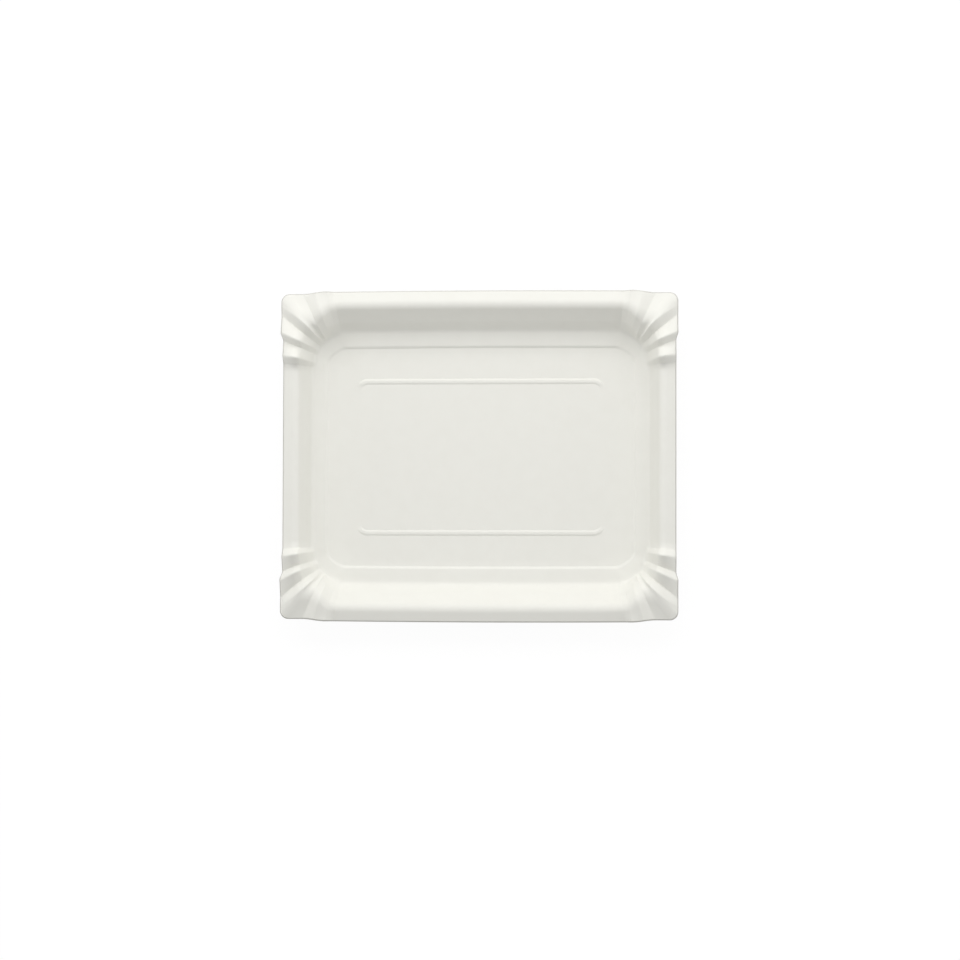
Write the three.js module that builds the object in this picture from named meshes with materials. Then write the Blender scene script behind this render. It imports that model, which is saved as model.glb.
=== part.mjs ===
// A pressed paperboard tray: one sheet of board that a die has formed into a flat base with two
// raised beads, a shallow band round it, sloping walls, a turned-over lip and four fluted corners.
// Millimetres, +Z up. X runs along the long sides. The origin is under the middle of the base.

import * as THREE from "three";

// The whole tray
const LENGTH = 180.6; // between the plain edges of the two short sides
const WIDTH = 152; // across the middle of the two long sides
const RIM_HEIGHT = 13.6; // top of the plain rim above the table
const BOARD = 0.5; // thickness of the board
const SIDE_BOW = 0.3; // how far the middle of a long side stands out from its ends

// The section across a side, from the cut edge inwards, as widths seen from above and slopes in
// degrees: the straight part of the turned-over lip, the round top of the rim, the wall, the hollow
// at its foot, the shallow band and the pressed line round the base. The short sides keep the
// heights in less width, so their wall is steeper.
const LONG_SIDE = {
  lipWidth: 4.3,
  lipSlope: 20,
  crestRadius: 3.7,
  wallSlope: 50,
  footRadius: 3,
  bandSlope: 4,
  bandWidth: 5.5,
  lineWidth: 1.6,
};
const SHORT_SIDE = {
  lipWidth: 4.1,
  lipSlope: 26,
  crestRadius: 2.6,
  wallSlope: 66,
  footRadius: 3,
  bandSlope: 10,
  bandWidth: 4.4,
  lineWidth: 1.6,
};
const LINE_DROP = 0.8; // from the band to the base

// The corners, seen from above
const EDGE_CORNER = 3.7; // radius of the cut edge
const FOOT_CORNER_X = 12.5; // the foot of the wall rounds the corner on an ellipse
const FOOT_CORNER_Y = 15.5;
const BASE_CORNER_X = 9; // the flat base has its corners cut off at a slant, softly
const BASE_CORNER_Y = 6.5;
const BASE_CORNER_CUT = 1.3; // 1 is round, and 2 is a straight slant
const CORNER_BULGE = 0.9; // how far the fluted edge stands out past a short side
const CORNER_TUCK = 1; // how far it stays back from a long side

// The flutes are folds that fan out over each corner, and they fade out at the foot of the wall.
// Lifts are heights over the plain sides, of a ridge or a valley at the cut edge.
const FLUTE_LIFT = 2.8;
const CORNER_LIFT = 0.8; // the long ridge that runs into the corner
const LONG_LIFT = 2.6; // the ridge on the long side, which has a flat top
const VALLEY_LIFT = 0.4;
const LONG_VALLEY_LIFT = 0.9; // the valley beside the ridge on the long side
const FOLD_BLEND = 0.7; // half width of a fold's rounding
const FLUTE_FADE = 5; // power of the fading, which is slow on the lip and quick at the foot

// Folds in order, from the long side round to the short side. At the cut edge each is placed by its
// distance from the corner, negative along the long side. At the foot it is placed by an angle.
// Half way to the foot it is swell higher and bows sideways, towards the long side. The flare is
// how much its lip is widened at the cost of its wall, where 1 leaves no room for the foot.
const FOLDS = [
  { edge: -24.4, foot: 0, lift: 0, swell: 0, bow: 0, flare: 0 },
  { edge: -21, foot: 10, lift: LONG_LIFT, swell: -1.4, bow: 0, flare: 0.1 },
  { edge: -15.8, foot: 26, lift: LONG_LIFT, swell: 0.2, bow: 0, flare: 0.5 },
  { edge: -10.3, foot: 37, lift: LONG_VALLEY_LIFT, swell: 0.3, bow: 0, flare: 0.8 },
  { edge: 6, foot: 45, lift: CORNER_LIFT, swell: 3.1, bow: 1.4, flare: 0.7 },
  { edge: 9.6, foot: 52, lift: VALLEY_LIFT, swell: 0, bow: 0, flare: 0.5 },
  { edge: 17.8, foot: 60, lift: FLUTE_LIFT, swell: 1.4, bow: 0, flare: 0.3 },
  { edge: 21.5, foot: 68, lift: VALLEY_LIFT, swell: 0, bow: 0, flare: 0.2 },
  { edge: 28.5, foot: 82, lift: FLUTE_LIFT, swell: 2.4, bow: 0, flare: 0.1 },
  { edge: 32, foot: 90, lift: 0, swell: 0, bow: 0, flare: 0 },
];
const TUCK_FOLDS = [1, 3]; // the folds between which the cut edge draws back from a long side
const BULGE_FOLDS = [6, 7]; // the folds between which it comes back in line with a short side

// The two beads raised in the base, which curve inwards and fade out at their ends
const BEAD_SPAN = 113.2; // from end to end
const BEAD_PLACE = 35.1; // from the middle of the tray to the middle of a bead
const BEAD_WIDTH = 2.8;
const BEAD_FLANK = 0.75; // share of its half width that slopes
const BEAD_HEIGHT = 0.45;
const BEAD_FADE = 0.4; // share of a curved end at which it starts to fade
const BEAD_HOOK_RADIUS = 4.4;
const BEAD_HOOK_ANGLE = 75; // degrees that an end turns inwards

// How finely curves are cut into flats
const LIP_STEPS = 1;
const CREST_STEPS = 4;
const WALL_STEPS = 3;
const FOOT_STEPS = 3;
const LINE_STEPS = 4; // across the pressed line
const SIDE_STEPS = 3; // along half a plain side
const CORNER_STEPS = 4; // round the cut edge's corner
const BEAD_STEPS = 8; // across a bead
const HOOK_STEPS = 5; // along a bead's curved end
const SAME_LEVEL = 1e-6; // points whose heights differ by less are level with each other

const sin = (degrees) => Math.sin(THREE.MathUtils.degToRad(degrees));
const cos = (degrees) => Math.cos(THREE.MathUtils.degToRad(degrees));
const tan = (degrees) => Math.tan(THREE.MathUtils.degToRad(degrees));

// Heights are those of the middle of the board.
const BASE_LEVEL = BOARD / 2;
const CREST_LEVEL = RIM_HEIGHT - BOARD / 2;

// The section of one side as points { width from the cut edge, level }, with the widths at which
// it reaches the foot of the wall and the base
function section(side) {
  const { lipWidth, lipSlope, crestRadius, wallSlope, footRadius, bandSlope } = side;
  const crestWidth = lipWidth + crestRadius * sin(lipSlope);
  const wallTopWidth = crestWidth + crestRadius * sin(wallSlope);
  const wallTopLevel = CREST_LEVEL - crestRadius * (1 - cos(wallSlope));
  const bandInside = BASE_LEVEL + LINE_DROP;
  const bandOutside = bandInside + side.bandWidth * tan(bandSlope);
  const wallFootLevel = bandOutside + footRadius * (cos(bandSlope) - cos(wallSlope));
  const wallFootWidth = wallTopWidth + (wallTopLevel - wallFootLevel) / tan(wallSlope);
  const hollowWidth = wallFootWidth + footRadius * sin(wallSlope);
  const footWidth = hollowWidth - footRadius * sin(bandSlope);
  const lineStart = footWidth + side.bandWidth;
  const border = lineStart + side.lineWidth;

  const points = [];
  const edgeLevel = CREST_LEVEL - crestRadius * (1 - cos(lipSlope)) - lipWidth * tan(lipSlope);
  for (let i = 0; i < LIP_STEPS; i++) {
    const width = (lipWidth * i) / LIP_STEPS;
    points.push({ width, level: edgeLevel + width * tan(lipSlope) });
  }
  for (let i = 0; i <= CREST_STEPS; i++) {
    const slope = THREE.MathUtils.lerp(-lipSlope, wallSlope, i / CREST_STEPS);
    points.push({
      width: crestWidth + crestRadius * sin(slope),
      level: CREST_LEVEL - crestRadius * (1 - cos(slope)),
    });
  }
  for (let i = 1; i < WALL_STEPS; i++) {
    points.push({
      width: THREE.MathUtils.lerp(wallTopWidth, wallFootWidth, i / WALL_STEPS),
      level: THREE.MathUtils.lerp(wallTopLevel, wallFootLevel, i / WALL_STEPS),
    });
  }
  for (let i = 0; i <= FOOT_STEPS; i++) {
    const slope = THREE.MathUtils.lerp(wallSlope, bandSlope, i / FOOT_STEPS);
    points.push({
      width: hollowWidth - footRadius * sin(slope),
      level: bandOutside + footRadius * (cos(bandSlope) - cos(slope)),
    });
  }
  const halfLine = side.lineWidth / 2;
  const line = new THREE.CubicBezierCurve(
    new THREE.Vector2(lineStart, bandInside),
    new THREE.Vector2(lineStart + halfLine, bandInside - halfLine * tan(bandSlope)),
    new THREE.Vector2(lineStart + halfLine, BASE_LEVEL),
    new THREE.Vector2(border, BASE_LEVEL),
  );
  for (const point of line.getPoints(LINE_STEPS)) points.push({ width: point.x, level: point.y });
  return { points, footWidth, border };
}

// A value that changes in straight stretches between the folds
function betweenFolds(place, key) {
  const last = FOLDS.length - 1;
  if (place <= FOLDS[0].edge) return FOLDS[0][key];
  if (place >= FOLDS[last].edge) return FOLDS[last][key];
  const next = FOLDS.findIndex((fold) => fold.edge > place);
  const [a, b] = [FOLDS[next - 1], FOLDS[next]];
  return THREE.MathUtils.mapLinear(place, a.edge, b.edge, a[key], b[key]);
}

// A height that changes in the same way, with each fold rounded off
function roundedHeight(place, key) {
  const beside = betweenFolds(place - FOLD_BLEND, key) + betweenFolds(place + FOLD_BLEND, key);
  return beside / 4 + betweenFolds(place, key) / 2;
}

// The cut edge round a corner, where place is the distance from the sharp corner of the two sides
function edgePoint(place) {
  const between = (a, b) => THREE.MathUtils.smoothstep(place, FOLDS[a].edge, FOLDS[b].edge);
  const bulge = (1 - between(...BULGE_FOLDS)) * CORNER_BULGE;
  const tuck = between(...TUCK_FOLDS) * CORNER_TUCK;
  const corner = new THREE.Vector2(LENGTH / 2 + bulge, WIDTH / 2 - SIDE_BOW - tuck);
  if (place <= -EDGE_CORNER) return corner.add(new THREE.Vector2(place, 0));
  if (place >= EDGE_CORNER) return corner.add(new THREE.Vector2(0, -place));
  const turn = 90 * ((place + EDGE_CORNER) / (2 * EDGE_CORNER));
  return corner.add(new THREE.Vector2(sin(turn) - 1, cos(turn) - 1).multiplyScalar(EDGE_CORNER));
}

// A point on an inner line, set in from the two sides, at an angle round its corner. A cut of 1
// makes the corner round.
function innerPoint(inX, inY, radiusX, radiusY, angle, cut = 1) {
  return new THREE.Vector2(
    LENGTH / 2 - inX - radiusX * (1 - sin(angle) ** cut),
    WIDTH / 2 - SIDE_BOW - inY - radiusY * (1 - Math.abs(cos(angle)) ** cut),
  );
}

// The places round a corner at which the board's section is taken
function cornerPlaces() {
  const places = new Set();
  for (const { edge } of FOLDS) {
    for (const place of [edge - FOLD_BLEND, edge, edge + FOLD_BLEND]) places.add(place);
  }
  for (let i = 0; i <= CORNER_STEPS; i++) {
    places.add(THREE.MathUtils.lerp(-EDGE_CORNER, EDGE_CORNER, i / CORNER_STEPS));
  }
  const first = FOLDS[0].edge;
  const last = FOLDS[FOLDS.length - 1].edge;
  return [...places].filter((place) => place >= first && place <= last).sort((a, b) => a - b);
}

// A column with its three points moved, and the rest as it was
function movedColumn(column, move) {
  return { ...column, edge: move(column.edge), foot: move(column.foot), base: move(column.base) };
}

// Columns round a quarter of the tray, from the middle of a long side to the middle of a short
// one. Each holds its points on the cut edge, at the foot of the wall and on the edge of the base,
// and how far it has turned from the long side's section to the short side's.
function quarter(long, short) {
  const footRing = [short.footWidth, long.footWidth, FOOT_CORNER_X, FOOT_CORNER_Y];
  const baseRing = [short.border, long.border, BASE_CORNER_X, BASE_CORNER_Y];
  const corner = cornerPlaces().map((place) => {
    const angle = betweenFolds(place, "foot");
    return {
      edge: edgePoint(place),
      foot: innerPoint(...footRing, angle),
      base: innerPoint(...baseRing, angle, BASE_CORNER_CUT),
      turn: angle / 90,
      lift: roundedHeight(place, "lift"),
      swell: roundedHeight(place, "swell"),
      bow: betweenFolds(place, "bow"),
      flare: betweenFolds(place, "flare"),
    };
  });
  const longEnd = corner[0];
  const shortEnd = corner.at(-1);
  const columns = [];
  for (let i = 0; i < SIDE_STEPS; i++) {
    const share = i / SIDE_STEPS;
    const bow = SIDE_BOW * (1 - share * share);
    const move = ({ x, y }) => new THREE.Vector2(x * share, y + bow);
    columns.push(movedColumn(longEnd, move));
  }
  columns.push(...corner);
  for (let i = SIDE_STEPS - 1; i >= 0; i--) {
    const move = ({ x, y }) => new THREE.Vector2(x, (y * i) / SIDE_STEPS);
    columns.push(movedColumn(shortEnd, move));
  }
  return columns;
}

// The quarter mirrored into the other three, as one closed round of columns
function roundTheTray(columns) {
  const mirrored = (signX, signY) =>
    columns.map((column) => movedColumn(column, ({ x, y }) => new THREE.Vector2(x * signX, y * signY)));
  const turns = [
    mirrored(1, 1),
    mirrored(1, -1).reverse(),
    mirrored(-1, -1),
    mirrored(-1, 1).reverse(),
  ];
  return turns.flatMap((turn) => turn.slice(0, -1));
}

// Points of one bead as rows along it, each with its points across
function bead(side) {
  const hook = BEAD_HOOK_RADIUS * sin(BEAD_HOOK_ANGLE);
  const straight = BEAD_SPAN / 2 - hook;
  const stations = [];
  for (let i = HOOK_STEPS; i >= 0; i--) {
    stations.push({ sign: -1, angle: (BEAD_HOOK_ANGLE * i) / HOOK_STEPS });
  }
  for (let i = 0; i <= HOOK_STEPS; i++) {
    stations.push({ sign: 1, angle: (BEAD_HOOK_ANGLE * i) / HOOK_STEPS });
  }
  return stations.map(({ sign, angle }) => {
    const height = BEAD_HEIGHT * (1 - THREE.MathUtils.smoothstep(angle / BEAD_HOOK_ANGLE, BEAD_FADE, 1));
    const row = [];
    for (let i = 0; i <= BEAD_STEPS; i++) {
      const across = THREE.MathUtils.lerp(-1, 1, i / BEAD_STEPS);
      const radius = BEAD_HOOK_RADIUS + (across * BEAD_WIDTH) / 2;
      row.push(
        new THREE.Vector3(
          sign * (straight + radius * sin(angle)),
          side * (BEAD_PLACE - BEAD_HOOK_RADIUS + radius * cos(angle)),
          BASE_LEVEL + height * THREE.MathUtils.smoothstep(1 - Math.abs(across), 0, BEAD_FLANK),
        ),
      );
    }
    return row;
  });
}

// The middle of the board as one open surface: its points, its triangles facing up, and the
// numbers of the points along the cut edge.
function middleSurface() {
  const points = [];
  const triangles = [];
  const addGrid = (rows, closed, clockwise) => {
    const numbers = rows.map((row) => row.map((point) => points.push(point) - 1));
    const wide = rows[0].length;
    for (let r = 0; r + 1 < rows.length; r++) {
      for (let c = 0; c < (closed ? wide : wide - 1); c++) {
        const next = (c + 1) % wide;
        const [a, b] = [numbers[r][c], numbers[r][next]];
        const [d, e] = [numbers[r + 1][c], numbers[r + 1][next]];
        triangles.push(...(clockwise ? [a, e, b, a, d, e] : [a, b, e, a, e, d]));
      }
    }
    return numbers;
  };

  const long = section(LONG_SIDE);
  const short = section(SHORT_SIDE);
  const columns = roundTheTray(quarter(long, short));
  const border = long.points.map((onLong, station) => {
    const onShort = short.points[station];
    const onWall = onLong.width <= long.footWidth;
    const shareOn = ({ width }, { footWidth, border }) =>
      onWall ? width / footWidth : (width - footWidth) / (border - footWidth);
    return columns.map((column) => {
      const share = THREE.MathUtils.lerp(shareOn(onLong, long), shareOn(onShort, short), column.turn);
      const level = THREE.MathUtils.lerp(onLong.level, onShort.level, column.turn);
      if (!onWall) {
        const onBand = column.foot.clone().lerp(column.base, share);
        return new THREE.Vector3(onBand.x, onBand.y, level);
      }
      const reach = share + column.flare * share * (1 - share);
      const place = column.edge.clone().lerp(column.foot, reach);
      const middling = 4 * reach * (1 - reach);
      const lifted = (column.lift + column.swell * middling) * (1 - reach ** FLUTE_FADE);
      const aside = (column.bow * middling) / Math.SQRT2;
      return new THREE.Vector3(
        place.x - aside * Math.sign(place.x),
        place.y + aside * Math.sign(place.y),
        level + lifted,
      );
    });
  });
  const borderNumbers = addGrid(border, true, true);

  const loops = [1, -1].map((side) => {
    const numbers = addGrid(bead(side), false, side > 0);
    const between = numbers.slice(1, -1);
    const outside = between.map((row) => row.at(-1));
    const inside = between.map((row) => row[0]);
    return [...numbers[0], ...outside, ...numbers.at(-1).reverse(), ...inside.reverse()];
  });

  const flat = (number) => new THREE.Vector2(points[number].x, points[number].y);
  const outline = borderNumbers.at(-1);
  const numbered = [...outline, ...loops.flat()];
  const faces = THREE.ShapeUtils.triangulateShape(
    outline.map(flat),
    loops.map((loop) => loop.map(flat)),
  );
  for (const face of faces) {
    const [a, b, c] = face.map((index) => numbered[index]);
    const turn = flat(b).sub(flat(a)).cross(flat(c).sub(flat(a)));
    triangles.push(...(turn > 0 ? [a, b, c] : [a, c, b]));
  }
  return { points, triangles, edge: borderNumbers[0] };
}

// The board itself: half its thickness on each side of the middle surface, closed along the edge
function board({ points, triangles, edge }) {
  const middle = new THREE.BufferGeometry().setFromPoints(points);
  middle.setIndex(triangles);
  middle.computeVertexNormals();
  const normals = middle.getAttribute("normal");
  const positions = [];
  for (const side of [1, -1]) {
    points.forEach((point, number) => {
      const away = new THREE.Vector3().fromBufferAttribute(normals, number);
      if (Math.abs(point.z - BASE_LEVEL) < SAME_LEVEL) away.set(0, 0, 1);
      positions.push(...point.clone().addScaledVector(away, (side * BOARD) / 2).toArray());
    });
  }
  const under = points.length;
  const index = [...triangles];
  for (let i = 0; i < triangles.length; i += 3) {
    index.push(triangles[i] + under, triangles[i + 2] + under, triangles[i + 1] + under);
  }
  edge.forEach((a, i) => {
    const b = edge[(i + 1) % edge.length];
    index.push(a, b, b + under, a, b + under, a + under);
  });
  const geometry = new THREE.BufferGeometry();
  geometry.setAttribute("position", new THREE.Float32BufferAttribute(positions, 3));
  geometry.setIndex(index);
  geometry.computeVertexNormals();
  return geometry;
}

const paperboard = new THREE.MeshStandardMaterial({ color: 0xe6e5df, roughness: 0.85, metalness: 0 });

const tray = new THREE.Mesh(board(middleSurface()), paperboard);
tray.name = "tray";

const group = new THREE.Group();
group.add(tray);

export default group;
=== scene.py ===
"""The looks of a pressed paperboard tray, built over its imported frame.

One sheet of board carries everything that shows: a flat base with two raised beads, a pressed
line and a shallow band round it, sloping walls, a turned-over lip and four fluted corners. The
plain form of the sheet is laid out as rings of points. A node tree then presses the flutes and
the beads into it, lets it go slightly wavy, and gives it its thickness and its cut edge.
"""

from __future__ import annotations

import logging
import math
from collections.abc import Callable
from dataclasses import dataclass, field, replace
from enum import Enum

import bpy
from mathutils import Matrix, Vector
from mathutils.geometry import delaunay_2d_cdt


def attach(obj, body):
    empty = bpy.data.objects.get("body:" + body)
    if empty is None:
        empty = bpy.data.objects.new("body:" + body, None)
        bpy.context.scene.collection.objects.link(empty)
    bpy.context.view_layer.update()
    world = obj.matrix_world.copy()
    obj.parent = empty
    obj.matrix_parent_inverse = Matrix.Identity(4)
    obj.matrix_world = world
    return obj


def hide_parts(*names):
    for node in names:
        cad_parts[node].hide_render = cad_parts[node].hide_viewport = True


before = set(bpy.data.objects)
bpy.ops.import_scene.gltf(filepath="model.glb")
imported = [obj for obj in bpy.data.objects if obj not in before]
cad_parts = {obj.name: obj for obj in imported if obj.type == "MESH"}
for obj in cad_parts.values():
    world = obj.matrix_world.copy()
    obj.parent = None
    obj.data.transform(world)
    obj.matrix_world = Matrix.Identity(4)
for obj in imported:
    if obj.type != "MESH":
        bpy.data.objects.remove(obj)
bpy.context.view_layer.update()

log = logging.getLogger("tray")

MM = 0.001
TINY = 1e-6


def smoothstep(value: float, low: float, high: float) -> float:
    """Ease a value from 0 at one limit to 1 at the other.

    Args:
        value: The value to ease.
        low: Where the result is 0.
        high: Where the result is 1.

    Returns:
        A share from 0 to 1.
    """
    share = min(max((value - low) / (high - low), 0.0), 1.0)
    return share * share * (3 - 2 * share)


def mix(a: float, b: float, share: float) -> float:
    """Return the value that lies a share of the way from a to b."""
    return a + (b - a) * share


class Attribute(str, Enum):
    """Names of the values that the sheet's points carry into the node tree and the finish."""

    LIFT = "flute_lift"
    REACH = "reach"
    CREASE = "crease"
    INSET = "inset"
    OUTWARD = "outward"
    MIDDLE = "middle_point"
    NORMAL = "sheet_normal"
    UNDERSIDE = "underside"
    CUT = "cut_edge"


class Value:
    """A socket of a node tree that takes part in Python sums."""

    def __init__(self, graph: Graph, socket: bpy.types.NodeSocket) -> None:
        """Keep a socket and the graph that it belongs to."""
        self.graph = graph
        self.socket = socket

    def __add__(self, other: Value | float) -> Value:
        """Return this plus other."""
        return self.graph.math("ADD", self, other)

    def __radd__(self, other: float) -> Value:
        """Return other plus this."""
        return self.graph.math("ADD", other, self)

    def __sub__(self, other: Value | float) -> Value:
        """Return this less other."""
        return self.graph.math("SUBTRACT", self, other)

    def __rsub__(self, other: float) -> Value:
        """Return other less this."""
        return self.graph.math("SUBTRACT", other, self)

    def __mul__(self, other: Value | float) -> Value:
        """Return this times other."""
        return self.graph.math("MULTIPLY", self, other)

    def __rmul__(self, other: float) -> Value:
        """Return other times this."""
        return self.graph.math("MULTIPLY", other, self)

    def __truediv__(self, other: Value | float) -> Value:
        """Return this divided by other."""
        return self.graph.math("DIVIDE", self, other)

    def __pow__(self, other: Value | float) -> Value:
        """Return this to the power of other."""
        return self.graph.math("POWER", self, other)

    def __abs__(self) -> Value:
        """Return this without its sign."""
        return self.graph.math("ABSOLUTE", self)


class Graph:
    """A node tree, of a material, a world or a Geometry Nodes modifier, that is being written."""

    def __init__(self, tree: bpy.types.NodeTree) -> None:
        """Start on a node tree with nothing in it.

        Args:
            tree: The tree to write into.
        """
        self.tree = tree
        tree.nodes.clear()

    def node(
        self,
        kind: str,
        settings: dict[str, object] | None = None,
        sockets: dict[str | int, object] | None = None,
        output: str | int = 0,
    ) -> Value:
        """Add a node.

        Args:
            kind: The node's type.
            settings: The node's own settings, which are set first.
            sockets: Values or links of its input sockets, by name or by number.
            output: The output socket to return, by name or by number.

        Returns:
            The output socket, or nothing to sum for a node that has none.
        """
        node = self.tree.nodes.new(kind)
        for name, setting in (settings or {}).items():
            setattr(node, name, setting)
        for key, entry in (sockets or {}).items():
            if isinstance(entry, Value):
                self.tree.links.new(entry.socket, node.inputs[key])
            else:
                node.inputs[key].default_value = entry
        return Value(self, node.outputs[output] if len(node.outputs) else None)

    def other(self, value: Value, output: str | int) -> Value:
        """Return another output of the node that a value comes from."""
        return Value(self, value.socket.node.outputs[output])

    def math(self, operation: str, *terms: Value | float) -> Value:
        """Add a Math node on numbers and return its result."""
        return self.node("ShaderNodeMath", {"operation": operation}, dict(enumerate(terms)))

    def vector(self, operation: str, *terms: Value | tuple[float, float, float]) -> Value:
        """Add a Vector Math node on vectors and return its result."""
        return self.node("ShaderNodeVectorMath", {"operation": operation}, dict(enumerate(terms)))

    def scaled(self, vector: Value, scale: Value | float) -> Value:
        """Return a vector times a number."""
        return self.node("ShaderNodeVectorMath", {"operation": "SCALE"}, {0: vector, "Scale": scale})

    def eased(self, value: Value, low: float | Value, high: float | Value) -> Value:
        """Return a value eased from 0 at low to 1 at high."""
        return self.node(
            "ShaderNodeMapRange",
            {"interpolation_type": "SMOOTHSTEP"},
            {"Value": value, "From Min": low, "From Max": high},
        )

    def attribute(self, name: Attribute, kind: str = "FLOAT") -> Value:
        """Return a value that the sheet's points carry, in Geometry Nodes."""
        return self.node("GeometryNodeInputNamedAttribute", {"data_type": kind}, {"Name": name.value})


@dataclass(frozen=True)
class SideSection:
    """The section across one side of the tray, from the cut edge inwards, in millimetres.

    Widths are as seen from above, and slopes are in degrees.
    """

    lip_width: float
    lip_slope: float
    crest_radius: float
    wall_slope: float
    foot_radius: float
    band_slope: float
    band_width: float
    line_width: float


@dataclass(frozen=True)
class Fold:
    """One fold of a corner flute.

    At the cut edge it is placed by its distance from the corner in millimetres, negative along
    the long side. At the foot of the wall it is placed by an angle in degrees. Half way to the foot
    it is swell higher, as a share of the flutes' height, and bows towards the long side. The flare
    is how much its lip is widened at the cost of its wall.
    """

    edge: float
    foot: float
    lift: float
    swell: float
    bow: float
    flare: float


@dataclass(frozen=True)
class SheetSteps:
    """How finely the sheet is laid out: counts of steps, and a few distances in millimetres."""

    lip: int = 6
    crest: int = 10
    wall: int = 12
    foot: int = 8
    band: int = 4
    line: int = 8
    burr_width: float = 0.3
    rounding_samples: int = 9
    fold_reach: float = 1.3
    fold: int = 9
    between_folds: int = 3
    corner_arc: int = 14
    least_gap: float = 0.12
    long_side: int = 16
    short_side: int = 12
    bead_across: int = 18
    bead_hook: int = 14
    bead_straight: int = 30
    bead_reach: float = 1.25
    base_pitch: float = 6.0
    bead_clearance: float = 0.9
    cut_edge: int = 4


@dataclass
class Station:
    """A point of a section: its distance from the cut edge and its height, in millimetres."""

    width: float
    level: float
    on_wall: bool


@dataclass
class Column:
    """One line of the sheet from its cut edge to the edge of the base, seen from above."""

    edge: Vector
    foot: Vector
    base: Vector
    turn: float
    lift: float
    swell: float
    bow: float
    flare: float
    crease: float

    def moved(self, scale: tuple[float, float], shift: float = 0.0) -> Column:
        """Return a copy with its points scaled along each axis and then shifted along Y.

        Args:
            scale: Factors along X and Y.
            shift: Millimetres added along Y.

        Returns:
            The moved column.
        """
        points = [
            Vector((point.x * scale[0], point.y * scale[1] + shift))
            for point in (self.edge, self.foot, self.base)
        ]
        return replace(self, edge=points[0], foot=points[1], base=points[2])


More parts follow.
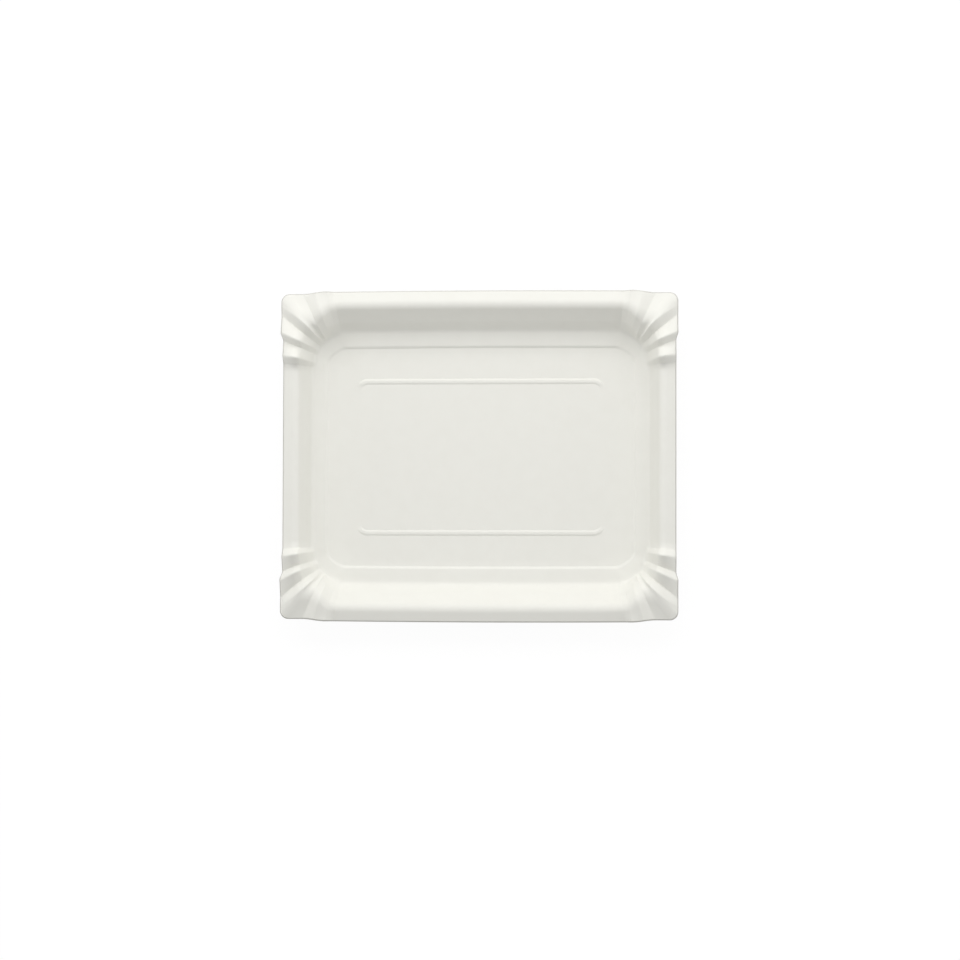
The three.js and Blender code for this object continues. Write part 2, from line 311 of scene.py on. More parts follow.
@dataclass
class BoardSheet:
    """The tray's one sheet of board, with its sizes in millimetres."""

    length: float = 180.6
    width: float = 152.0
    rim_height: float = 13.6
    thickness: float = 0.5
    side_bow: float = 0.3
    line_drop: float = 0.8
    long_side: SideSection = SideSection(4.3, 20.0, 3.7, 50.0, 3.0, 4.0, 5.5, 1.6)
    short_side: SideSection = SideSection(4.1, 26.0, 2.6, 66.0, 3.0, 10.0, 4.4, 1.6)
    edge_corner: float = 3.7
    foot_corner: tuple[float, float] = (12.5, 15.5)
    base_corner: tuple[float, float] = (9.0, 6.5)
    base_corner_cut: float = 1.3
    corner_softness: float = 0.45
    softness_span: float = 0.25
    softness_power: float = 1.3
    corner_bulge: float = 0.9
    corner_tuck: float = 1.0
    flute_lift: float = 2.8
    fold_blend: float = 0.55
    flute_fade: float = 5.0
    wall_ripple: float = 0.3
    ripple_place: float = 0.63
    ripple_spread: float = 0.16
    bead_span: float = 113.2
    bead_place: float = 35.1
    bead_width: float = 2.8
    bead_flank: float = 0.75
    bead_height: float = 0.38
    bead_fade: float = 0.4
    hook_radius: float = 4.4
    hook_angle: float = 75.0
    waviness: float = 0.16
    folds: list[Fold] = field(
        default_factory=lambda: [
            Fold(-24.4, 0, 0, 0, 0, 0),
            Fold(-21.0, 10, 0.93, -0.5, 0, 0.1),
            Fold(-15.8, 26, 0.93, 0.07, 0, 0.5),
            Fold(-10.3, 37, 0.32, 0.11, 0, 0.8),
            Fold(6.0, 45, 0.29, 1.1, 1.4, 0.7),
            Fold(9.6, 52, 0.14, 0, 0, 0.5),
            Fold(17.8, 60, 1, 0.5, 0, 0.3),
            Fold(21.5, 68, 0.14, 0, 0, 0.2),
            Fold(28.5, 82, 1, 0.85, 0, 0.1),
            Fold(32.0, 90, 0, 0, 0, 0),
        ]
    )
    tuck_folds: tuple[int, int] = (1, 3)
    bulge_folds: tuple[int, int] = (6, 7)
    wave_scale: float = 22.0
    cut_edge_bulge: float = 0.9
    merge_share: float = 0.01
    seed: int = 11
    steps: SheetSteps = SheetSteps()

    @property
    def base_level(self) -> float:
        """The height of the middle of the board in the base."""
        return self.thickness / 2

    def stations(self, side: SideSection) -> list[Station]:
        """Lay out the section of one side.

        Args:
            side: The side's sizes.

        Returns:
            Points from the cut edge to the edge of the base.
        """
        steps = self.steps
        crest_level = self.rim_height - self.thickness / 2
        lip, wall, band = (math.radians(a) for a in (side.lip_slope, side.wall_slope, side.band_slope))
        crest = side.lip_width + side.crest_radius * math.sin(lip)
        wall_top = crest + side.crest_radius * math.sin(wall)
        wall_top_level = crest_level - side.crest_radius * (1 - math.cos(wall))
        band_inside = self.base_level + self.line_drop
        band_outside = band_inside + side.band_width * math.tan(band)
        wall_foot_level = band_outside + side.foot_radius * (math.cos(band) - math.cos(wall))
        wall_foot = wall_top + (wall_top_level - wall_foot_level) / math.tan(wall)
        hollow = wall_foot + side.foot_radius * math.sin(wall)
        foot = hollow - side.foot_radius * math.sin(band)

        found: list[Station] = []
        lip_drop = side.crest_radius * (1 - math.cos(lip)) + side.lip_width * math.tan(lip)
        lip_places = [side.lip_width * i / steps.lip for i in range(1, steps.lip)]
        for along in [0.0, steps.burr_width] + lip_places:
            found.append(Station(along, crest_level - lip_drop + along * math.tan(lip), True))
        for i in range(steps.crest + 1):
            slope = mix(-lip, wall, i / steps.crest)
            drop = side.crest_radius * (1 - math.cos(slope))
            found.append(Station(crest + side.crest_radius * math.sin(slope), crest_level - drop, True))
        for i in range(1, steps.wall):
            share = i / steps.wall
            ripple = math.exp(-(((share - self.ripple_place) / self.ripple_spread) ** 2))
            level = mix(wall_top_level, wall_foot_level, share) + self.wall_ripple * ripple
            found.append(Station(mix(wall_top, wall_foot, share), level, True))
        for i in range(steps.foot + 1):
            slope = mix(wall, band, i / steps.foot)
            rise = side.foot_radius * (math.cos(band) - math.cos(slope))
            found.append(Station(hollow - side.foot_radius * math.sin(slope), band_outside + rise, True))
        for i in range(1, steps.band + 1):
            share = i / steps.band
            level = mix(band_outside, band_inside, share)
            found.append(Station(foot + side.band_width * share, level, False))
        start = foot + side.band_width
        for i in range(1, steps.line + 1):
            share = i / steps.line
            level = mix(band_inside, self.base_level, smoothstep(share, 0, 1))
            found.append(Station(start + side.line_width * share, level, False))
        return found

    def between_folds(self, place: float, name: str) -> float:
        """Return a fold value at a place on the cut edge, straight between the folds.

        Args:
            place: Distance from the corner, negative along the long side.
            name: The fold's field to read.

        Returns:
            The value there.
        """
        if place <= self.folds[0].edge:
            return getattr(self.folds[0], name)
        for a, b in zip(self.folds, self.folds[1:]):
            if place <= b.edge:
                return mix(getattr(a, name), getattr(b, name), (place - a.edge) / (b.edge - a.edge))
        return getattr(self.folds[-1], name)

    def rounded_height(self, place: float, name: str) -> float:
        """Return a fold height at a place on the cut edge, with each fold rounded off."""
        blend, samples = self.fold_blend, self.steps.rounding_samples
        near = [mix(-blend, blend, i / (samples - 1)) for i in range(samples)]
        return sum(self.between_folds(place + step, name) for step in near) / samples

    def edge_point(self, place: float) -> Vector:
        """Return the point of the cut edge at a distance from the corner."""
        a, b = (self.folds[i].edge for i in self.bulge_folds)
        c, d = (self.folds[i].edge for i in self.tuck_folds)
        bulge = (1 - smoothstep(place, a, b)) * self.corner_bulge
        tuck = smoothstep(place, c, d) * self.corner_tuck
        corner = Vector((self.length / 2 + bulge, self.width / 2 - self.side_bow - tuck))
        if place <= -self.edge_corner:
            return corner + Vector((place, 0))
        if place >= self.edge_corner:
            return corner + Vector((0, -place))
        turn = math.pi / 2 * (place + self.edge_corner) / (2 * self.edge_corner)
        return corner + Vector((math.sin(turn) - 1, math.cos(turn) - 1)) * self.edge_corner

    def corner_places(self) -> list[float]:
        """Return the places round one corner where a column starts, close together at folds."""
        steps = self.steps
        blend = self.fold_blend * steps.fold_reach
        places = {0.0}
        for fold in self.folds:
            places.update(fold.edge + mix(-blend, blend, i / (steps.fold - 1)) for i in range(steps.fold))
        for a, b in zip(self.folds, self.folds[1:]):
            start, end = a.edge + blend, b.edge - blend
            coarse = steps.between_folds
            places.update(mix(start, end, i / coarse) for i in range(1, coarse))
        corner, arc = self.edge_corner, steps.corner_arc
        places.update(mix(-corner, corner, i / arc) for i in range(arc + 1))
        first, last = self.folds[0].edge, self.folds[-1].edge
        kept: list[float] = []
        for place in sorted(p for p in places if first <= p <= last):
            if not kept or place - kept[-1] > steps.least_gap:
                kept.append(place)
        kept[-1] = last
        return kept

    def quarter(self, border: tuple[float, float], foot: tuple[float, float]) -> list[Column]:
        """Lay out the columns of a quarter of the tray.

        Args:
            border: Width from the cut edge to the base, on a short and a long side.
            foot: Width from the cut edge to the foot of the wall, on a short and a long side.

        Returns:
            Columns from the middle of a long side to the middle of a short side.
        """

        def ring(
            inset: tuple[float, float], radii: tuple[float, float], angle: float, cut: float = 1.0
        ) -> Vector:
            """Return a point on an inner line, at an angle round its corner, round at a cut of 1."""
            across = radii[0] * (1 - math.sin(angle) ** cut)
            along = radii[1] * (1 - abs(math.cos(angle)) ** cut)
            return Vector(
                (
                    self.length / 2 - inset[0] - across,
                    self.width / 2 - self.side_bow - inset[1] - along,
                )
            )

        corner = []
        for place in self.corner_places():
            turned = self.between_folds(place, "foot")
            angle = math.radians(turned)
            nearest = min(abs(place - fold.edge) for fold in self.folds)
            corner.append(
                Column(
                    self.edge_point(place),
                    ring(foot, self.foot_corner, angle),
                    ring(border, self.base_corner, angle, self.base_corner_cut),
                    turned / 90,
                    self.rounded_height(place, "lift"),
                    self.rounded_height(place, "swell"),
                    self.between_folds(place, "bow"),
                    self.between_folds(place, "flare"),
                    1 - smoothstep(nearest, 0, self.fold_blend),
                )
            )
        columns = []
        for i in range(self.steps.long_side):
            share = i / self.steps.long_side
            plain = corner[0].moved((share, 1), self.side_bow * (1 - share * share))
            plain.crease = 0.0
            columns.append(plain)
        columns += corner
        for i in reversed(range(self.steps.short_side)):
            plain = corner[-1].moved((1, i / self.steps.short_side))
            plain.crease = 0.0
            columns.append(plain)
        return columns

    def bead_points(self, side: int) -> list[Vector]:
        """Return points of the flat base that lie closely enough to carry one bead.

        Args:
            side: 1 for the bead at +Y, -1 for the one at -Y.

        Returns:
            Points in the plane of the base.
        """
        steps = self.steps
        hook = math.radians(self.hook_angle)
        straight = self.bead_span / 2 - self.hook_radius * math.sin(hook)
        rows = [
            (mix(-straight, straight, i / steps.bead_straight), 0.0)
            for i in range(steps.bead_straight + 1)
        ]
        for i in range(1, steps.bead_hook + 1):
            rows += [(sign * straight, sign * hook * i / steps.bead_hook) for sign in (-1, 1)]
        half = steps.bead_reach * self.bead_width / 2
        points = []
        for x, angle in rows:
            for i in range(steps.bead_across + 1):
                radius = self.hook_radius + mix(-half, half, i / steps.bead_across)
                along = self.bead_place - self.hook_radius + radius * math.cos(angle)
                points.append(Vector((x + radius * math.sin(angle), side * along)))
        return points

    def base_fill(self, outline: list[Vector]) -> tuple[list[Vector], list[tuple[int, ...]]]:
        """Fill the flat base inside its outline with well-shaped triangles.

        Args:
            outline: The points of the base's edge, in order.

        Returns:
            The points, of which the first are the outline, and the triangles.
        """
        beads = self.bead_points(1) + self.bead_points(-1)
        pitch = self.steps.base_pitch
        clear = self.bead_width * self.steps.bead_clearance
        half_x = max(point.x for point in outline) - pitch / 2
        half_y = max(point.y for point in outline) - pitch / 2
        count_x, count_y = int(2 * half_x / pitch), int(2 * half_y / pitch)
        loose = []
        for i in range(count_x + 1):
            for j in range(count_y + 1):
                point = Vector((mix(-half_x, half_x, i / count_x), mix(-half_y, half_y, j / count_y)))
                near_bead = abs(point.x) < self.bead_span / 2 + clear and (
                    -self.hook_radius < abs(point.y) - self.bead_place < clear
                )
                if not near_bead and self.inside(point, half_x, half_y):
                    loose.append(point)
        points = list(outline) + beads + loose
        ring = [(i, (i + 1) % len(outline)) for i in range(len(outline))]
        made = delaunay_2d_cdt(points, ring, [], 1, TINY)
        faces, origins = made[2], made[3]
        if not all(origins):
            raise RuntimeError("the base's edge crosses itself")
        triangles = []
        for face in faces:
            a, b, c = (min(origins[number]) for number in face)
            turn = (points[b] - points[a]).cross(points[c] - points[a])
            triangles.append((a, b, c) if turn > 0 else (a, c, b))
        return points, triangles

    def inside(self, point: Vector, half_x: float, half_y: float) -> bool:
        """Say whether a point lies inside the rounded outline of the base."""
        radius_x, radius_y = self.base_corner
        over_x = max(abs(point.x) - (half_x - radius_x), 0) / radius_x
        over_y = max(abs(point.y) - (half_y - radius_y), 0) / radius_y
        return math.hypot(over_x, over_y) <= 1

    def plain_mesh(self) -> bpy.types.Mesh:
        """Make the middle surface of the sheet before its flutes and beads are pressed.

        Returns:
            A mesh in metres, with the values that the node tree and the finish read.
        """
        long, short = self.stations(self.long_side), self.stations(self.short_side)
        foot_long = max(s.width for s in long if s.on_wall)
        foot_short = max(s.width for s in short if s.on_wall)
        foot_levels = [[s.level for s in side if s.on_wall][-1] for side in (long, short)]
        border_long, border_short = long[-1].width, short[-1].width
        quarter = self.quarter((border_short, border_long), (foot_short, foot_long))
        turns = [
            [c.moved((1, 1)) for c in quarter],
            [c.moved((1, -1)) for c in quarter][::-1],
            [c.moved((-1, -1)) for c in quarter],
            [c.moved((-1, 1)) for c in quarter][::-1],
        ]
        columns = [column for turn in turns for column in turn[:-1]]
        wide = len(columns)

        points: list[tuple[float, float, float]] = []
        values: dict[Attribute, list[float]] = {
            name: [] for name in (Attribute.LIFT, Attribute.REACH, Attribute.CREASE, Attribute.INSET)
        }
        outward: list[tuple[float, float, float]] = []

        def add(place: Vector, level: float, carried: tuple[float, float, float, float]) -> None:
            """Add one point of the sheet with its lift, reach, crease and inset."""
            points.append((place.x * MM, place.y * MM, level * MM))
            for kept, value in zip(values.values(), carried):
                kept.append(value)

        for on_long, on_short in zip(long, short):
            for column in columns:
                if on_long.on_wall:
                    shares = on_long.width / foot_long, on_short.width / foot_short
                    start, end = column.edge, column.foot
                else:
                    shares = (
                        (on_long.width - foot_long) / (border_long - foot_long),
                        (on_short.width - foot_short) / (border_short - foot_short),
                    )
                    start, end = column.foot, column.base
                share = mix(*shares, column.turn)
                level = mix(on_long.level, on_short.level, column.turn)
                if not on_long.on_wall:
                    turned = min(column.turn, 1 - column.turn)
                    soft = smoothstep(turned, 0, self.softness_span) * self.corner_softness
                    foot_level = mix(*foot_levels, column.turn)
                    plain = mix(self.base_level, foot_level, (1 - share) ** self.softness_power)
                    level = mix(level, plain, soft)
                reach = share + column.flare * share * (1 - share) if on_long.on_wall else 1.0
                place = start.lerp(end, reach if on_long.on_wall else share)
                middling = 4 * reach * (1 - reach)
                aside = column.bow * middling / math.sqrt(2)
                place += Vector((-math.copysign(aside, place.x), math.copysign(aside, place.y)))
                lift = column.lift + column.swell * middling
                inset = (place - column.edge).length
                add(place, level, (lift, reach, column.crease, inset))
                away = (column.edge - column.foot).normalized()
                outward.append((away.x, away.y, 0.0))

        faces: list[tuple[int, ...]] = []
        for row in range(len(long) - 1):
            for i in range(wide):
                j = (i + 1) % wide
                a, b = row * wide + i, row * wide + j
                faces.append((a, a + wide, b + wide, b))

        ring = [Vector(points[(len(long) - 1) * wide + i][:2]) / MM for i in range(wide)]
        fill, triangles = self.base_fill(ring)
        first_ring, first_fill = (len(long) - 1) * wide, len(points)
        for point in fill[wide:]:
            add(point, self.base_level, (0.0, 1.0, 0.0, border_long))
            outward.append((0.0, 0.0, 0.0))
        for triangle in triangles:
            faces.append(
                tuple(first_ring + n if n < wide else first_fill + n - wide for n in triangle)
            )

        mesh = bpy.data.meshes.new("tray_sheet_plain")
        mesh.from_pydata(points, [], faces)
        for name, numbers in values.items():
            mesh.attributes.new(name.value, "FLOAT", "POINT").data.foreach_set("value", numbers)
        flat = [number for vector in outward for number in vector]
        layer = mesh.attributes.new(Attribute.OUTWARD.value, "FLOAT_VECTOR", "POINT")
        layer.data.foreach_set("vector", flat)
        mesh.validate()
        mesh.update()
        return mesh

    def press_tree(self) -> bpy.types.GeometryNodeTree:
        """Write the tree that presses the sheet and gives it thickness.

        Returns:
            A Geometry Nodes tree with named inputs for its sizes.
        """
        tree = bpy.data.node_groups.new("Press Board Sheet", "GeometryNodeTree")
        graph = Graph(tree)
        face = tree.interface
        face.new_socket("Geometry", in_out="INPUT", socket_type="NodeSocketGeometry")
        for name in (
            "Board Thickness",
            "Flute Height",
            "Flute Fade",
            "Bead Height",
            "Bead Width",
            "Bead Flank",
            "Bead Span",
            "Bead Place",
            "Hook Radius",
            "Hook Angle",
            "Hook Fade",
            "Waviness",
            "Seed",
        ):
            face.new_socket(name, in_out="INPUT", socket_type="NodeSocketFloat")
        face.new_socket("Finish", in_out="INPUT", socket_type="NodeSocketMaterial")
        face.new_socket("Geometry", in_out="OUTPUT", socket_type="NodeSocketGeometry")
        sheet = graph.node("NodeGroupInput", output="Geometry")

        def size(name: str) -> Value:
            """Return one of the tree's named inputs."""
            return graph.other(sheet, name)

        position = graph.node("GeometryNodeInputPosition")
        x = graph.node("ShaderNodeSeparateXYZ", None, {0: position})
        y = graph.other(x, "Y")
        rise = self.bead_rise(graph, size, abs(x), abs(y))
        reach = graph.attribute(Attribute.REACH)
        fade = 1 - reach ** size("Flute Fade")
        lift = graph.attribute(Attribute.LIFT) * size("Flute Height") * fade
        noise = graph.node(
            "ShaderNodeTexNoise",
            {"noise_dimensions": "4D"},
            {"Vector": position, "W": size("Seed"), "Scale": self.wave_scale, "Detail": 2.0},
        )
        wave = (noise - 0.5) * size("Waviness") * (1 - reach * reach)
        raised = graph.node("ShaderNodeCombineXYZ", None, {"Z": lift + rise + wave})
        pressed = graph.node(
            "GeometryNodeSetPosition", None, {"Geometry": sheet, "Offset": raised}
        )
        for name, vector in (
            (Attribute.NORMAL, graph.node("GeometryNodeInputNormal")),
            (Attribute.MIDDLE, position),
        ):
            pressed = graph.node(
                "GeometryNodeStoreNamedAttribute",
                {"data_type": "FLOAT_VECTOR", "domain": "POINT"},
                {"Geometry": pressed, "Name": name.value, "Value": vector},
            )
        shell = self.thickened(graph, pressed, size("Board Thickness"))
        smooth = graph.node("GeometryNodeSetShadeSmooth", None, {"Geometry": shell})
        whole = graph.node("GeometryNodeRealizeInstances", None, {"Geometry": smooth})
        dressed = graph.node(
            "GeometryNodeSetMaterial", None, {"Geometry": whole, "Material": size("Finish")}
        )
        graph.node("NodeGroupOutput", None, {0: dressed})
        return tree

    def bead_rise(self, graph: Graph, size: Callable[[str], Value], x: Value, y: Value) -> Value:
        """Write the nodes that raise the two beads and their hooked ends.

        Args:
            graph: The graph to write into.
            size: A function that returns a named input of the tree.
            x: Distance from the tray's middle along X.
            y: Distance from the tray's middle along Y.

        Returns:
            How far the base is raised.
        """
        radius = size("Hook Radius")
        hook = size("Hook Angle")
        straight = size("Bead Span") / 2 - radius * graph.math("SINE", hook)
        beyond = graph.math("MAXIMUM", x - straight, 0.0)
        beside = y - (size("Bead Place") - radius)
        away = graph.math("SQRT", beyond * beyond + beside * beside) - radius
        turned = graph.math("ARCTAN2", beyond, beside) / hook
        ends = 1 - graph.eased(turned, size("Hook Fade"), 1.0)
        across = 1 - abs(away) / (size("Bead Width") / 2)
        return size("Bead Height") * graph.eased(across, 0.0, size("Bead Flank")) * ends

    def thickened(self, graph: Graph, pressed: Value, thickness: Value) -> Value:
        """Write the nodes that turn the middle surface into a board with a softened cut edge.

        Args:
            graph: The graph to write into.
            pressed: The middle surface.
            thickness: The board's thickness.

        Returns:
            One closed skin.
        """
        normal = graph.attribute(Attribute.NORMAL, "FLOAT_VECTOR")
        middle = graph.attribute(Attribute.MIDDLE, "FLOAT_VECTOR")
        outward = graph.attribute(Attribute.OUTWARD, "FLOAT_VECTOR")

        def marked(geometry: Value, name: Attribute, selection: Value | bool = True) -> Value:
            """Mark the selected points with the value 1."""
            return graph.node(
                "GeometryNodeStoreNamedAttribute",
                {"data_type": "FLOAT", "domain": "POINT"},
                {"Geometry": geometry, "Selection": selection, "Name": name.value, "Value": 1.0},
            )

        below = graph.node(
            "GeometryNodeSetPosition",
            None,
            {"Geometry": pressed, "Offset": graph.scaled(normal, thickness * -0.5)},
        )
        below = marked(graph.node("GeometryNodeFlipFaces", None, {"Mesh": below}), Attribute.UNDERSIDE)
        above = graph.node(
            "GeometryNodeSetPosition",
            None,
            {"Geometry": pressed, "Offset": graph.scaled(normal, thickness * 0.5)},
        )
        neighbours = graph.node("GeometryNodeInputMeshEdgeNeighbors")
        edge = graph.node(
            "FunctionNodeCompare",
            {"data_type": "INT", "operation": "EQUAL"},
            {2: neighbours, 3: 1},
        )
        steps = self.steps.cut_edge
        strip, selection = above, edge
        for i in range(1, steps + 1):
            angle = math.pi * i / steps
            strip = graph.node(
                "GeometryNodeExtrudeMesh",
                {"mode": "EDGES"},
                {"Mesh": strip, "Selection": selection, "Offset Scale": 0.0},
            )
            selection = graph.other(strip, "Top")
            upwards = graph.scaled(normal, thickness * (math.cos(angle) / 2))
            outwards = graph.scaled(outward, thickness * (self.cut_edge_bulge * math.sin(angle) / 2))
            place = graph.vector("ADD", graph.vector("ADD", middle, upwards), outwards)
            strip = graph.node(
                "GeometryNodeSetPosition",
                None,
                {"Geometry": strip, "Selection": selection, "Position": place},
            )
            if i < steps:
                strip = marked(strip, Attribute.CUT, selection)
        joined = graph.tree.nodes.new("GeometryNodeJoinGeometry")
        for part in (below, strip):
            graph.tree.links.new(part.socket, joined.inputs[0])
        return graph.node(
            "GeometryNodeMergeByDistance",
            None,
            {"Geometry": Value(graph, joined.outputs[0]), "Distance": thickness * self.merge_share},
        )

    def build(self, finish: bpy.types.Material) -> bpy.types.Object:
        """Make the finished sheet as one plain mesh.

        Args:
            finish: The board's material.

        Returns:
            The object, at the origin.
        """
        rough = bpy.data.objects.new("tray_sheet_rough", self.plain_mesh())
        bpy.context.scene.collection.objects.link(rough)
        tree = self.press_tree()
        press = rough.modifiers.new("Press", "NODES")
        press.node_group = tree
        sizes = {
            "Board Thickness": self.thickness * MM,
            "Flute Height": self.flute_lift * MM,
            "Flute Fade": self.flute_fade,
            "Bead Height": self.bead_height * MM,
            "Bead Width": self.bead_width * MM,
            "Bead Flank": self.bead_flank,
            "Bead Span": self.bead_span * MM,
            "Bead Place": self.bead_place * MM,
            "Hook Radius": self.hook_radius * MM,
            "Hook Angle": math.radians(self.hook_angle),
            "Hook Fade": self.bead_fade,
            "Waviness": self.waviness * MM,
            "Seed": float(self.seed),
            "Finish": finish,
        }
        for item in tree.interface.items_tree:
            if item.in_out == "INPUT" and item.name in sizes:
                press[item.identifier] = sizes[item.name]
        evaluated = rough.evaluated_get(bpy.context.evaluated_depsgraph_get())
        mesh = bpy.data.meshes.new_from_object(evaluated)
        rough.modifiers.clear()
        bpy.data.objects.remove(rough)
        mesh.name = "tray_board"
        for name in (Attribute.NORMAL, Attribute.MIDDLE, Attribute.OUTWARD, Attribute.LIFT):
            if name.value in mesh.attributes:
                mesh.attributes.remove(mesh.attributes[name.value])
        board = bpy.data.objects.new("tray_board", mesh)
        bpy.context.scene.collection.objects.link(board)
        return board


@dataclass(frozen=True)
class PressedBoardFinish:
    """White coated paperboard with cloudy fibres, a duller underside and a raw cut edge, and painted
    shade along its folds and the lip's edge.
    """

    face: tuple[float, float, float] = (0.800, 0.795, 0.745)
    cloud: tuple[float, float, float] = (0.775, 0.768, 0.715)
    underside: tuple[float, float, float] = (0.700, 0.680, 0.610)
    cut_edge: tuple[float, float, float] = (0.380, 0.370, 0.330)
    painted_shade_edge_band: tuple[float, float] = (0.12, 0.46)
    edge_roll: float = 0.36
    painted_edge_shade_weight: float = 0.3
    cut_and_edge_shade_weight: float = 0.8
    roughness: float = 0.62
    specular: float = 0.35
    cloud_size: float = 7.0
    cloud_span: tuple[float, float] = (0.3, 0.75)
    cloud_height: float = 0.03
    cloud_strength: float = 0.6
    fibre_size: float = 0.55
    fibre_draw: tuple[float, float, float] = (1.0, 2.6, 1.6)
    fibre_turn: float = 0.2
    fibre_height: float = 0.012
    fibre_strength: float = 0.7
    fold_fade: float = 4.0
    shade_of_cloud: float = 0.4
    shade_of_fibre: float = 0.6
    painted_crease_shade: float = 0.3
    shade_at_least: float = 0.1
    roughness_of_fibre: float = 0.16
    roughness_of_fold: float = 0.05
    roughness_below: float = 0.12

    def material(self) -> bpy.types.Material:
        """Write the material's nodes and return it."""
        material = bpy.data.materials.new("pressed_paperboard")
        material.use_nodes = True
        graph = Graph(material.node_tree)
        place = graph.node("ShaderNodeTexCoord", output="Object")
        drawn = graph.node(
            "ShaderNodeMapping",
            None,
            {"Vector": place, "Scale": self.fibre_draw, "Rotation": (0, 0, self.fibre_turn)},
        )
        cloud = graph.node(
            "ShaderNodeTexNoise",
            None,
            {"Vector": place, "Scale": 1 / (self.cloud_size * MM), "Detail": 3.0, "Roughness": 0.55},
        )
        fibre = graph.node(
            "ShaderNodeTexNoise",
            None,
            {"Vector": drawn, "Scale": 1 / (self.fibre_size * MM), "Detail": 2.0, "Roughness": 0.6},
        )
        crease, below, cut, reach, inset = (
            graph.node("ShaderNodeAttribute", {"attribute_name": name.value}, output="Fac")
            for name in (
                Attribute.CREASE,
                Attribute.UNDERSIDE,
                Attribute.CUT,
                Attribute.REACH,
                Attribute.INSET,
            )
        )
        # Painted shade: a darker band along the outermost half millimetre of the lip, partly the cut
        # edge's burr and partly the shade of its rolled edge, joined to the raw cut edge's mask.
        line = 1 - graph.eased(inset, *self.painted_shade_edge_band)
        cut = graph.math("MAXIMUM", cut, line * self.painted_edge_shade_weight)
        # Painted shade: each fold is darkened towards the cloud colour, fading down the wall; the same
        # mask makes the folds a little smoother.
        fold = crease * (1 - reach ** self.fold_fade)
        shade = (
            graph.eased(cloud, *self.cloud_span) * self.shade_of_cloud
            + (fibre - 0.5) * self.shade_of_fibre
            + fold * self.painted_crease_shade
            + self.shade_at_least
        )
        clamped = graph.node("ShaderNodeClamp", None, {"Value": shade})
        colour = self.blended(graph, clamped, (*self.face, 1), (*self.cloud, 1))
        colour = self.blended(graph, below, colour, (*self.underside, 1))
        # The raw cut edge's own darker colour, which also paints the shaded band along the lip's edge.
        colour = self.blended(graph, cut * self.cut_and_edge_shade_weight, colour, (*self.cut_edge, 1))
        rough = (
            self.roughness
            + (fibre - 0.5) * self.roughness_of_fibre
            - fold * self.roughness_of_fold
            + below * self.roughness_below
        )
        rolled = graph.node(
            "ShaderNodeBump",
            None,
            {
                "Strength": 1.0,
                "Distance": self.edge_roll * MM,
                "Height": graph.eased(inset, 0.0, self.painted_shade_edge_band[1]),
            },
        )
        low = graph.node(
            "ShaderNodeBump",
            None,
            {
                "Strength": self.cloud_strength,
                "Distance": self.cloud_height * MM,
                "Height": cloud,
                "Normal": rolled,
            },
        )
        grain = graph.node(
            "ShaderNodeBump",
            None,
            {
                "Strength": self.fibre_strength,
                "Distance": self.fibre_height * MM,
                "Height": fibre,
                "Normal": low,
            },
        )
        surface = graph.node(
            "ShaderNodeBsdfPrincipled",
            None,
            {
                "Base Color": colour,
                "Roughness": rough,
                "Specular IOR Level": self.specular,
                "Normal": grain,
            },
        )
        graph.node("ShaderNodeOutputMaterial", None, {"Surface": surface})
        return material

    @staticmethod
    def blended(graph: Graph, share: Value, first: object, second: object) -> Value:
        """Return a colour that goes from the first to the second with a share."""
        return graph.node(
            "ShaderNodeMix", {"data_type": "RGBA"}, {0: share, 6: first, 7: second}, output=2
        )


@dataclass(frozen=True)
class PaleFloor:
    """A plain white table top, which shows as white and keeps the tray's shadow."""

    half_size: float = 3.0
    gap: float = 0.00005
    colour: tuple[float, float, float, float] = (0.8, 0.8, 0.8, 1.0)
    glow: float = 1.04
    shadow_share: float = 0.1

    def build(self) -> bpy.types.Object:
        """Make the floor and its material."""
        half = self.half_size
        corners = [(-half, -half), (half, -half), (half, half), (-half, half)]
        mesh = bpy.data.meshes.new("floor")
        mesh.from_pydata([(x, y, -self.gap) for x, y in corners], [], [(0, 1, 2, 3)])
        floor = bpy.data.objects.new("floor", mesh)
        bpy.context.scene.collection.objects.link(floor)
        material = bpy.data.materials.new("pale_floor")
        material.use_nodes = True
        graph = Graph(material.node_tree)
        matt = graph.node("ShaderNodeBsdfDiffuse", None, {"Color": self.colour})
        white = graph.node("ShaderNodeEmission", None, {"Color": (1, 1, 1, 1), "Strength": self.glow})
        rays = graph.node("ShaderNodeLightPath", output="Is Camera Ray")
        seen = graph.math("MAXIMUM", rays, graph.other(rays, "Is Glossy Ray"))
        seen = graph.math("MAXIMUM", seen, graph.other(rays, "Is Transmission Ray"))
        share = seen * (1 - self.shadow_share)
        shown = graph.node("ShaderNodeMixShader", None, {0: share, 1: matt, 2: white})
        graph.node("ShaderNodeOutputMaterial", None, {"Surface": shown})
        mesh.materials.append(material)
        return floor


@dataclass(frozen=True)
class Softbox:
    """A large rectangular lamp that faces the tray.

    The side is an angle from +Y towards +X, the height an angle above the floor, both in degrees.
    """

    name: str
    side: float
    height: float
    distance: float
    size: tuple[float, float]
    power: float

    def build(self) -> bpy.types.Object:
        """Make the lamp."""
        side, height = math.radians(self.side), math.radians(self.height)
        level = math.cos(height)
        aim = Vector((level * math.sin(side), level * math.cos(side), math.sin(height)))
        light = bpy.data.lights.new(self.name, "AREA")
        light.shape = "RECTANGLE"
        light.size, light.size_y = self.size
        light.energy = self.power
        lamp = bpy.data.objects.new(self.name, light)
        lamp.location = aim * self.distance
        lamp.rotation_euler = aim.to_track_quat("Z", "Y").to_euler()
        bpy.context.scene.collection.objects.link(lamp)
        return lamp


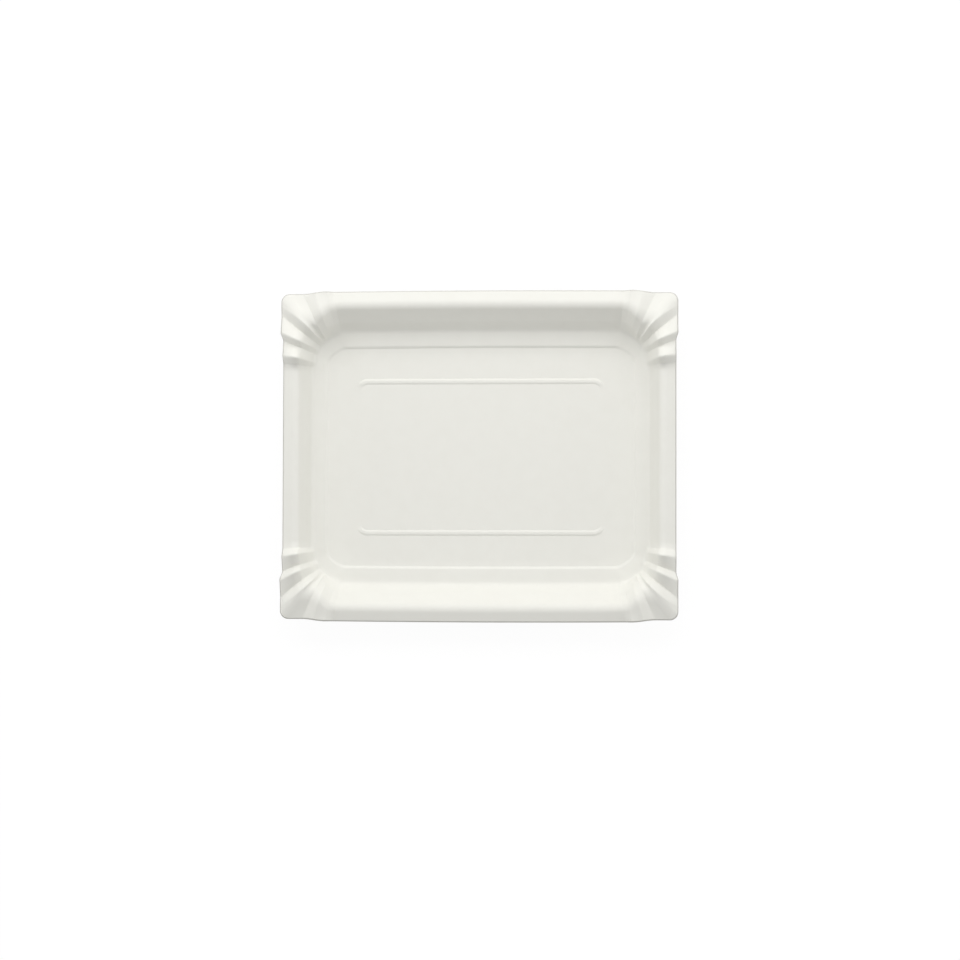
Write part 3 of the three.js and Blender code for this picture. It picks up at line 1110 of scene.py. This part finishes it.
@dataclass(frozen=True)
class StudioLight:
    """Soft light: an even surround, a softbox behind the tray and two weaker ones at its sides."""

    white: tuple[float, float, float, float] = (1.0, 1.0, 1.0, 1.0)
    surround: float = 0.62
    behind: Softbox = Softbox("behind", 0, 42, 0.85, (1.5, 0.5), 5.8)
    left: Softbox = Softbox("left", -90, 12, 1.2, (1.2, 0.3), 1.1)
    right: Softbox = Softbox("right", 90, 12, 1.2, (1.2, 0.3), 1.1)

    def build(self) -> None:
        """Make the world and the lamps."""
        world = bpy.data.worlds.new("surround")
        bpy.context.scene.world = world
        world.use_nodes = True
        graph = Graph(world.node_tree)
        even = graph.node("ShaderNodeBackground", None, {"Color": self.white, "Strength": self.surround})
        white = graph.node("ShaderNodeBackground", None, {"Color": self.white, "Strength": 1.0})
        rays = graph.node("ShaderNodeLightPath", output="Is Camera Ray")
        shown = graph.node("ShaderNodeMixShader", None, {0: rays, 1: even, 2: white})
        graph.node("ShaderNodeOutputWorld", None, {"Surface": shown})
        for softbox in (self.behind, self.left, self.right):
            softbox.build()


@dataclass(frozen=True)
class OverheadCamera:
    """The photograph's camera, almost straight above the tray."""

    view_width: float = 0.4397
    distance: float = 1.2
    lean: tuple[float, float] = (0.073, -0.035)
    aim: tuple[float, float, float] = (0.0008, -0.0110, 0.0130)
    sensor: float = 36.0

    def build(self) -> bpy.types.Object:
        """Make the camera and look through it."""
        data = bpy.data.cameras.new("overhead")
        data.sensor_width = self.sensor
        data.lens = self.sensor * self.distance / self.view_width
        camera = bpy.data.objects.new("overhead", data)
        away = Vector((*self.lean, 1.0)).normalized()
        up = away.cross(Vector((1, 0, 0))).normalized()
        camera.location = Vector(self.aim) + away * self.distance
        camera.rotation_euler = Matrix((up.cross(away), up, away)).transposed().to_euler()
        bpy.context.scene.collection.objects.link(camera)
        bpy.context.scene.camera = camera
        return camera


def main() -> None:
    """Build the scene and report the board sheet's size."""
    logging.basicConfig(level=logging.INFO, format="%(message)s")
    bpy.context.scene.view_settings.view_transform = "Standard"
    OverheadCamera().build()
    StudioLight().build()
    floor = PaleFloor().build()

    board = BoardSheet().build(PressedBoardFinish().material())
    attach(board, "root")
    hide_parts("tray")
    log.info("board sheet: %d points, %d faces", len(board.data.vertices), len(board.data.polygons))


if __name__ == "__main__":
    main()
